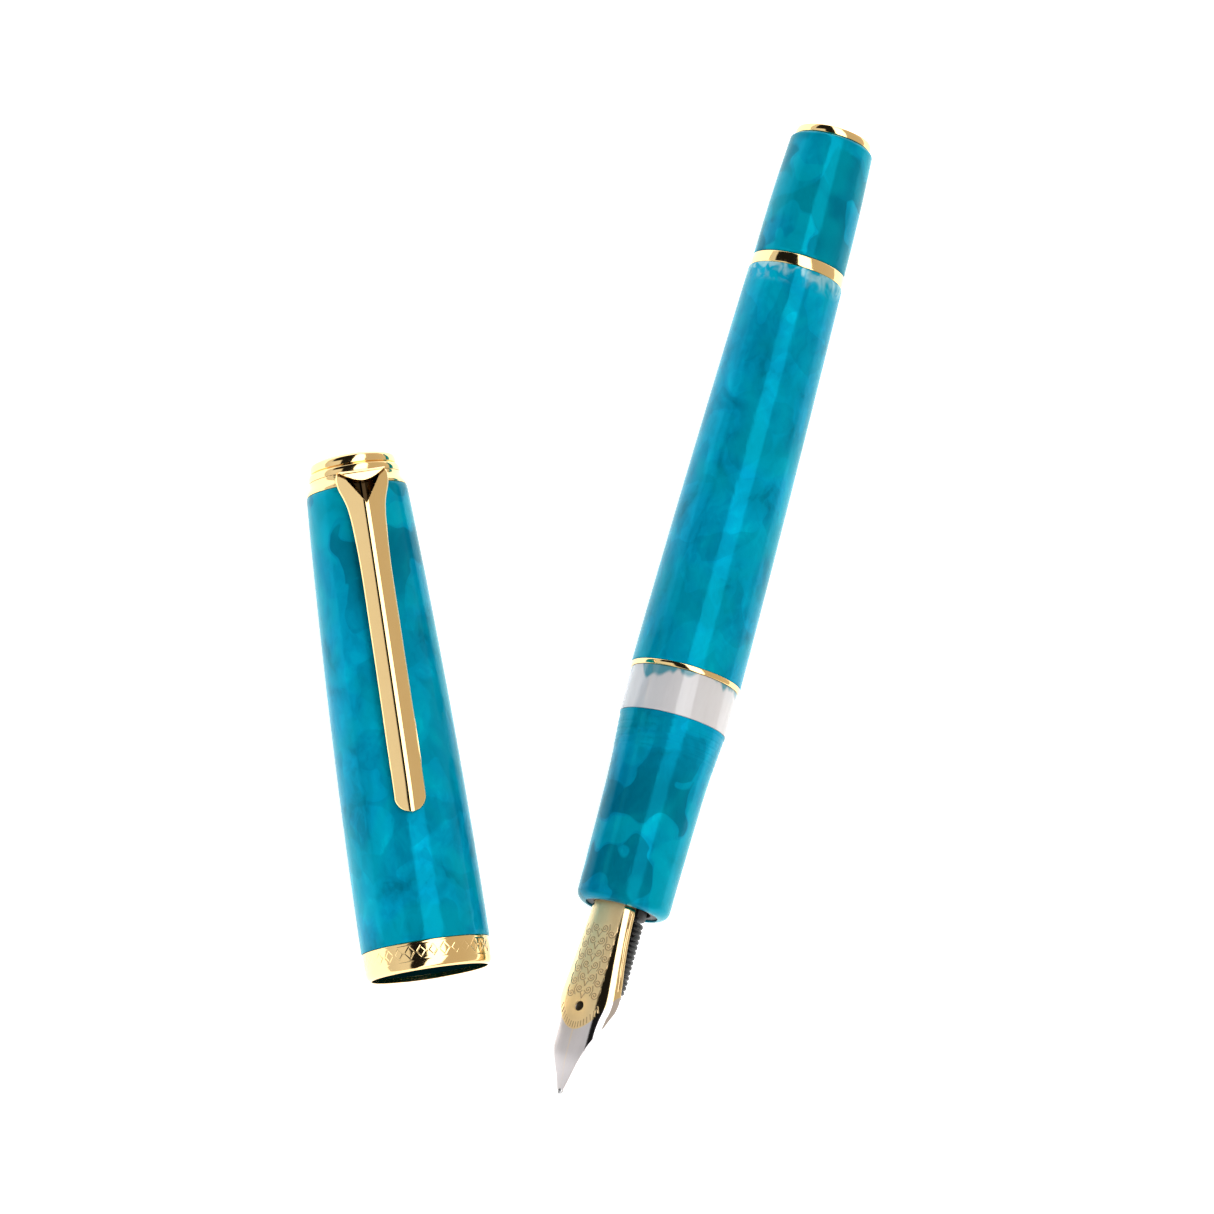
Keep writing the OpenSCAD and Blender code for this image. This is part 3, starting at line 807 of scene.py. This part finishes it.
def feed_shape():
    """Feed with its comb of fins below the nib and a beak under the tines."""
    parts = []
    beak = []
    for z in np.linspace(1.0, BEAK_END, 44):
        half = float(spline(z, [(BEAK_END, 0.55), (-15.5, 0.9), (-13.0, 1.3), (-10, 1.6), (1.0, 1.7)]))
        top = float(spline(z, NIB_TOP)) - NIB_THICKNESS - 0.42
        low = float(spline(z, [
            (BEAK_END, 2.0), (-16.0, 1.35), (-13.5, 0.1), (-11.5, -1.1), (-9, -1.9), (1.0, -2.2)]))
        angles = np.linspace(0, 2 * math.pi, 28, endpoint=False)
        power = 0.62
        x = half * np.sign(np.cos(angles)) * np.abs(np.cos(angles)) ** power
        y = (top + low) / 2 + (top - low) / 2 * np.sign(np.sin(angles)) * np.abs(np.sin(angles)) ** power
        beak.append(np.stack([x, y, np.full(28, z)], axis=1))
    parts.append(lofted(beak))
    fins, pitch, thick = 15, 0.62, 0.30
    for i in range(fins):
        z = -1.2 - i * pitch
        radius = 2.97 - 0.35 * float(smooth_step(-z, 8.6, 10.6))
        top = 0.7
        bevel = 0.05
        parts.append(lofted([
            fin_loop(z, radius - bevel, top), fin_loop(z - bevel, radius, top),
            fin_loop(z - thick + bevel, radius, top), fin_loop(z - thick, radius - bevel, top)]))
    neck = [fin_loop(z, r, 0.7) for z, r in ((3.0, 3.0), (-0.5, 3.0), (-0.62, 2.94))]
    parts.append(lofted(neck))
    return joined(*parts)


def collar_shape():
    return turned(rounded([
        (COLLAR_BORE_R, 0.22, 0.08), (COLLAR_R - 0.03, 0.22, 0.08), (COLLAR_R - 0.03, 14.0, 0),
        (COLLAR_BORE_R, 14.0, 0)]), segments=120)


make_nib()
piece("nib_point_tipping", tipping_shape(), NIB, STEEL, "pen_body", ["nib_tipping"])
piece("feed_comb", feed_shape(), NIB, FEED_BLACK, "pen_body", ["feed"])
piece("nib_sleeve", collar_shape(), PEN, BLACK_PLASTIC, "pen_body", ["nib_collar"])

# ---------------------------------------------------------------- cap

def cap_tube_shape():
    z = np.linspace(TUBE_START + 0.12, TUBE_END - 0.12, 90)
    side = np.stack([cap_radius(z), z], axis=1)
    front = [(2.22, TUBE_START + GAP), (CAP_TOP_R - 0.08, TUBE_START + GAP)]
    back = [(CAP_MOUTH_R - 0.05, TUBE_END), (TENON_R, TUBE_END), (TENON_R, TENON_END),
            (MOUTH_BORE_R, TENON_END), (MOUTH_BORE_R, POCKET_END), (POCKET_R, POCKET_END),
            (POCKET_R, POCKET_START), (SECTION_SPACE_R, POCKET_START), (SECTION_SPACE_R, LINER_END),
            (LINER_R, LINER_END), (LINER_R, 7.0), (2.22, 7.0)]
    verts, faces = turned(np.concatenate([front, side, back]), segments=200)
    # Points that lie more than 0.3 mm inside the outer face are marked for painted shade inside the cap.
    inner = np.hypot(verts[:, 0], verts[:, 1]) < cap_radius(np.minimum(verts[:, 2], TUBE_END)) - 0.3
    return verts, faces, inner.astype(float)


def band_shape():
    """Metal band with a row of cut-in lozenges between two fine grooves."""
    outer = dense(rounded([
        (BAND_R - 0.06, TUBE_END + GAP, 0), (BAND_R, TUBE_END + 0.12, 0.1),
        (BAND_R - 0.03, CAP_LENGTH - 0.75, 0.5), (BAND_R - 0.20, CAP_LENGTH - 0.2, 0.4),
        (BAND_R - 0.58, CAP_LENGTH, 0.2)], closed=False, steps=8),
        0.06, closed=False)
    seat = TENON_END + GAP
    inner = np.array([
        (MOUTH_BORE_R + 0.05, CAP_LENGTH), (MOUTH_BORE_R, CAP_LENGTH - 0.05), (MOUTH_BORE_R, seat),
        (TENON_R + GAP, seat), (TENON_R + GAP, TUBE_END + GAP)])
    repeats, middle, half = 34, 59.15, 0.62

    def warp(r, z, a):
        outside = (r > BAND_R - 0.2).astype(float) * (z < CAP_LENGTH - 0.35)
        along = np.abs((a * repeats / (2 * math.pi)) % 1.0 - 0.5) * 2 * math.pi * BAND_R / repeats
        distance = np.abs(along / 0.55 + np.abs(z - middle) / half - 1.0)
        lozenge = 1 - smooth_step(distance, 0.06, 0.22)
        dot = 1 - smooth_step(np.hypot(along - 0.68, z - middle), 0.05, 0.14)
        grooves = 1 - smooth_step(np.abs(np.abs(z - middle) - 0.92), 0.03, 0.09)
        return r - 0.03 * outside * np.maximum(np.maximum(lozenge, dot), grooves), z

    return turned(np.concatenate([outer, inner]), segments=1020, warp=warp)


def thread_ring_shape():
    low, high = POCKET_START + GAP, POCKET_END - GAP
    bore = dense(np.array([(6.33, high), (6.33, low)]), 0.06, closed=False)
    outline = np.concatenate([[(POCKET_R - GAP, low), (POCKET_R - GAP, high)], bore])
    inside = lambda r: (r < 6.4).astype(float)
    return turned(outline, segments=220, warp=threaded(51.1, 55.9, THREAD_PITCH, -0.27, inside))


def clip_ring_shape():
    """Stepped ring under the end cap."""
    return turned(rounded([
        (1.52, 2.62, 0), (5.40, 2.62, 0.05), (5.46, 3.1, 0.25), (5.68, 3.5, 0.3), (5.88, 3.85, 0.15),
        (5.9, 4.12, 0.1), (5.82, 4.18, 0.04), (1.52, 4.18, 0)], steps=6), segments=240)


def cap_finial_shape():
    """Low domed disc with a rounded shoulder above a second step."""
    dome = [(4.4 * math.sin(t), 0.36 * (1 - math.cos(t))) for t in np.linspace(0, math.pi / 2, 16)]
    steps = rounded([
        (4.4, 0.36, 0), (4.95, 0.55, 0.35), (5.1, 1.05, 0.3), (5.06, 1.5, 0.12), (4.86, 1.58, 0.05),
        (4.86, 1.66, 0.05), (5.32, 1.74, 0.14), (5.42, 2.1, 0.25), (5.4, 2.58, 0.06), (1.5, 2.6, 0),
        (1.5, 7.6, 0), (0.0, 7.6, 0)], closed=False, steps=6)
    return turned(np.concatenate([dome, steps[1:]]), closed=False, segments=200)


# ---------------------------------------------------------------- clip

CLIP_START = 2.78
CLIP_WIDTH = [
    (CLIP_START, 2.75), (3.4, 2.98), (4.4, 3.02), (5.2, 2.86), (6.0, 2.58), (7.0, 2.30), (8.5, 2.08),
    (10.5, 1.94), (12.5, 1.85), (22, 1.79), (33, 1.82), (CLIP_TIP - 2, 1.83)]
CLIP_RIDGE = [(CLIP_START, 9.0), (8, 9.12), (14, 9.2), (24, 9.18), (34, 9.0), (38.5, 8.82), (41.5, 8.6),
              (CLIP_TIP, 8.3)]
CLIP_UNDER = [(CLIP_START, 6.15), (4.6, 6.35), (6.2, 7.0), (8.5, 7.92), (14, 8.0), (30, 8.0), (37.5, 7.95),
              (39.4, 7.55), (40.4, 7.46), (42.2, 7.52), (CLIP_TIP, 7.6)]
CLIP_SHARE = np.sin(np.linspace(-math.pi / 2, math.pi / 2, 121))
RIDGE_FLAT = 0.13        # half width of the narrow flat on the ridge
RIDGE_SOFT = 0.18
RECESS_APEX = 7.1        # where the sunken triangle at the clip's root ends on the ridge
RECESS_HALF = 1.85
RECESS_DEPTH = 1.3
FACET_SLOPE = 0.45
EDGE_SOFT = 0.22         # radius of the blade's edges


def clip_half_width(z):
    """Half width of the clip: shoulders, slim blade and round tip."""
    half = spline(z, CLIP_WIDTH)
    from_tip = np.clip(CLIP_TIP - z, 0, CLIP_HALF)
    return np.where(z > CLIP_TIP - CLIP_HALF,
                    np.sqrt(np.maximum(CLIP_HALF ** 2 - (CLIP_HALF - from_tip) ** 2, 1e-6)), half)


def edge_drop(inset):
    """How far the blade's rounded edge lies below its face at a distance from the edge."""
    into = np.maximum(EDGE_SOFT - inset, 0)
    return EDGE_SOFT - np.sqrt(np.maximum(EDGE_SOFT ** 2 - into ** 2, 0))


def crescent_edge(x):
    """Station at which the crescent at the clip's root ends."""
    return 4.4 - 0.17 * x * x


def clip_recess(x, z):
    """Share of full depth of the sunken triangle behind the crescent, and of the fine line beside it; the
    same share sets how much shade is painted into the gold there.
    """
    crescent = crescent_edge(x)
    reach = RECESS_HALF * (RECESS_APEX - z) / (RECESS_APEX - 4.1)
    triangle = smooth_step(reach - np.abs(x), 0.0, 0.10) * smooth_step(z - crescent, 0.0, 0.10)
    line = (1 - smooth_step(np.abs(z - crescent - 0.10), 0.04, 0.12)) * 0.3
    return np.maximum(triangle, line)


def clip_shape():
    """Blade with two long facets that meet in a ridge; a crescent and a sunken triangle at its root."""
    stations = np.concatenate([
        CLIP_START + 0.5 * (1 - np.cos(np.linspace(0, math.pi / 2, 14))), np.linspace(3.32, 7.3, 110),
        np.linspace(7.4, CLIP_TIP - 2.2, 80),
        CLIP_TIP - CLIP_HALF * (1 - np.sin(np.linspace(0.0, math.pi / 2, 26)))])
    loops, marks = [], []
    for z in stations:
        half = float(clip_half_width(z))
        under = float(spline(z, CLIP_UNDER))
        x = CLIP_SHARE * half
        aside = np.maximum(np.abs(x) - RIDGE_FLAT, 0)
        ridge = float(spline(z, CLIP_RIDGE))
        top = ridge - FACET_SLOPE * (np.sqrt(aside ** 2 + RIDGE_SOFT ** 2) - RIDGE_SOFT)
        top = top - 0.10 * smooth_step(z, CLIP_TIP - 2.2, CLIP_TIP) * (x / CLIP_HALF) ** 2
        # The crescent is smooth and has a rounded front
        smooth = 1 - smooth_step(z - crescent_edge(x), -0.04, 0.04)
        top = top + smooth * (ridge - 0.012 * x * x - top)
        rise = np.clip((z - CLIP_START) / 0.75, 0, 1)
        top = under + 0.25 + (top - under - 0.25) * math.sqrt(1 - (1 - rise) ** 2)
        recess = clip_recess(x, z)
        top = top - RECESS_DEPTH * recess
        # Softened outer edges
        top = top - edge_drop(half - np.abs(x))
        top = np.maximum(top, under + 0.12)
        bottom_x = CLIP_SHARE[::-1] * (half - 0.05)
        lift = edge_drop(half - np.abs(bottom_x))
        upper = np.stack([x, top, np.full(x.shape, z)], axis=1)
        lower = np.stack([bottom_x, np.minimum(under + lift, top[::-1] - 0.03), np.full(x.shape, z)], axis=1)
        loops.append(np.concatenate([upper, lower]))
        # The recess shares also mark where shade is painted into the gold.
        marks.append(np.concatenate([recess, np.zeros(x.shape)]))
    tongue = box_shape((-1.5, 4.2, 2.86), (1.5, 6.3, 3.88))
    verts, faces = joined(lofted(loops), tongue)
    return verts, faces, np.concatenate(marks + [np.zeros(len(tongue[0]))])


cap_tube = cap_tube_shape()
piece("cap_shell", cap_tube, CAP, RESIN, "cap", ["cap_tube"], 40, cap_tube[2])
piece("cap_mouth_band", band_shape(), CAP, GOLD, "cap", ["cap_band"])
piece("cap_inner_thread", thread_ring_shape(), CAP, GOLD, "cap", ["cap_thread_ring"])
clip_ring = piece("clip_holding_ring", clip_ring_shape(), CAP, GOLD, "cap", ["clip_ring"])
cut(clip_ring, [cutter("pocket_tool", box_shape((-1.62, 4.05, 2.76), (1.62, 6.3, 4.0)), CAP)])
piece("cap_end_jewel", cap_finial_shape(), CAP, GOLD, "cap", ["cap_finial"])
clip = clip_shape()
piece("pocket_clip_blade", clip, CAP, GOLD, "clip", ["clip"], 30, clip[2])

# ---------------------------------------------------------------- carried-over CAD pieces

CARRIED = {
    "piston_housing": BLACK_PLASTIC, "inner_cap": BLACK_PLASTIC, "chamber_seal": RUBBER,
    "housing_seal": RUBBER, "piston_o_rings": RUBBER, "rod_guide": PALE_PLASTIC,
    "piston_head": PALE_PLASTIC, "piston_rod": STEEL,
    "retaining_ring": BRASS, "drive_sleeve": BRASS, "finial_bush": BRASS,
}
for node, material in CARRIED.items():
    data = frame["nodes"][node].data
    data.materials.clear()
    data.materials.append(material)

# ---------------------------------------------------------------- floor, light and camera

FLOOR_SIZE = 6.0
FLOOR_DROP = 0.0002      # keeps the floor just under what lies on it
PANEL_YAW = math.radians(12)
DOME_STRENGTH = 2.9
GAP_TONE = (0.004, 0.004, 0.004)
PANEL_TONE = (1.0, 1.0, 1.0)
LEFT_TONE = (0.30, 0.30, 0.30)
# Tone of the dome at degrees from overhead, left to right
DOME_BANDS = [
    (-90, (0.26, 0.26, 0.26)), (-60, LEFT_TONE), (-43, LEFT_TONE), (-40, GAP_TONE), (-13, GAP_TONE),
    (-10.5, PANEL_TONE), (19.5, PANEL_TONE), (22, (0.21, 0.185, 0.15)), (60, (0.22, 0.195, 0.16)),
    (90, (0.24, 0.22, 0.19))]
CAMERA_AZIMUTH = -39.8
CAMERA_ELEVATION = 74.5
CAMERA_ROLL = 56.6
CAMERA_DISTANCE = 0.8152
CAMERA_FIELD = 10.0
CAMERA_TARGET = (0.01021, -0.00334, 0.005)


def make_floor():
    """Pale table top with a barely uneven tone."""
    s = Shader("pale_floor", local=False, Roughness=0.6, Emission_Strength=0.85)
    s.bsdf.inputs["Emission Color"].default_value = (1, 1, 1, 1)
    s.bsdf.inputs["Specular IOR Level"].default_value = 0.15
    s.feed("Base Color", s.mix(s.noise(0.01, 3.0, 0.5), (0.90, 0.90, 0.90), (0.92, 0.92, 0.92)))
    mesh = bpy.data.meshes.new("floor")
    h = FLOOR_SIZE / 2
    mesh.from_pydata([(-h, -h, 0), (h, -h, 0), (h, h, 0), (-h, h, 0)], [], [(0, 1, 2, 3)])
    mesh.materials.append(s.material)
    floor = bpy.data.objects.new("floor", mesh)
    bpy.context.scene.collection.objects.link(floor)
    floor.location.z = -FLOOR_DROP


def make_world():
    """Soft studio dome: a bright overhead panel beside a dark gap, dimmer and warmer to the right."""
    world = bpy.data.worlds.new("studio")
    bpy.context.scene.world = world
    world.use_nodes = True
    tree = world.node_tree
    background = tree.nodes["Background"]

    def add(kind, **settings):
        node = tree.nodes.new(kind)
        for key, value in settings.items():
            setattr(node, key, value)
        return node

    def share_of(value, low, high, interpolation="LINEAR"):
        node = add("ShaderNodeMapRange", interpolation_type=interpolation)
        node.inputs["From Min"].default_value = low
        node.inputs["From Max"].default_value = high
        tree.links.new(value, node.inputs["Value"])
        return node.outputs["Result"]

    def combined(operation, a, b, clamp=False):
        node = add("ShaderNodeMath", operation=operation, use_clamp=clamp)
        for value, socket in zip((a, b), node.inputs):
            if isinstance(value, bpy.types.NodeSocket):
                tree.links.new(value, socket)
            else:
                socket.default_value = value
        return node.outputs["Value"]

    turn = add("ShaderNodeMapping")
    turn.inputs["Rotation"].default_value = (0, 0, -PANEL_YAW)
    tree.links.new(add("ShaderNodeTexCoord").outputs["Generated"], turn.inputs["Vector"])
    split = add("ShaderNodeSeparateXYZ")
    tree.links.new(turn.outputs["Vector"], split.inputs["Vector"])
    angle = combined("ARCTAN2", split.outputs["X"], split.outputs["Z"])
    ramp = add("ShaderNodeValToRGB")
    for i, (degrees, colour) in enumerate(DOME_BANDS):
        at = (degrees + 90) / 180
        element = ramp.color_ramp.elements[i] if i < 2 else ramp.color_ramp.elements.new(at)
        element.position = at
        element.color = (*colour, 1)
    tree.links.new(share_of(angle, -math.pi / 2, math.pi / 2), ramp.inputs["Fac"])
    # Towards the knob end the dark gap reaches further out
    far = share_of(split.outputs["Y"], math.sin(math.radians(13.5)), math.sin(math.radians(16)), "SMOOTHSTEP")
    gap = combined("MULTIPLY", far, combined("LESS_THAN", angle, math.radians(-38)))
    outside = share_of(angle, math.radians(-70), math.radians(-72))
    shade = add("ShaderNodeMix", data_type="RGBA")
    shade.inputs["B"].default_value = (*GAP_TONE, 1)
    tree.links.new(combined("SUBTRACT", gap, outside, clamp=True), shade.inputs["Factor"])
    tree.links.new(ramp.outputs["Color"], shade.inputs["A"])
    tree.links.new(shade.outputs["Result"], background.inputs["Color"])
    background.inputs["Strength"].default_value = DOME_STRENGTH


def make_camera():
    azimuth, elevation, roll = (math.radians(v) for v in (CAMERA_AZIMUTH, CAMERA_ELEVATION, CAMERA_ROLL))
    back = Vector((math.sin(azimuth) * math.cos(elevation), -math.cos(azimuth) * math.cos(elevation),
                   math.sin(elevation)))
    level = Vector((math.cos(azimuth), math.sin(azimuth), 0))
    upright = back.cross(level)
    right = level * math.cos(roll) + upright * math.sin(roll)
    up = upright * math.cos(roll) - level * math.sin(roll)
    data = bpy.data.cameras.new("camera")
    data.sensor_width = 36
    data.lens = data.sensor_width / 2 / math.tan(math.radians(CAMERA_FIELD / 2))
    data.clip_start, data.clip_end = 0.01, 20
    camera = bpy.data.objects.new("camera", data)
    bpy.context.scene.collection.objects.link(camera)
    camera.matrix_world = axes_matrix(Vector(CAMERA_TARGET) + back * CAMERA_DISTANCE, right, up, back)
    bpy.context.scene.camera = camera


make_floor()
make_world()
make_camera()
bpy.context.scene.view_settings.view_transform = "Standard"
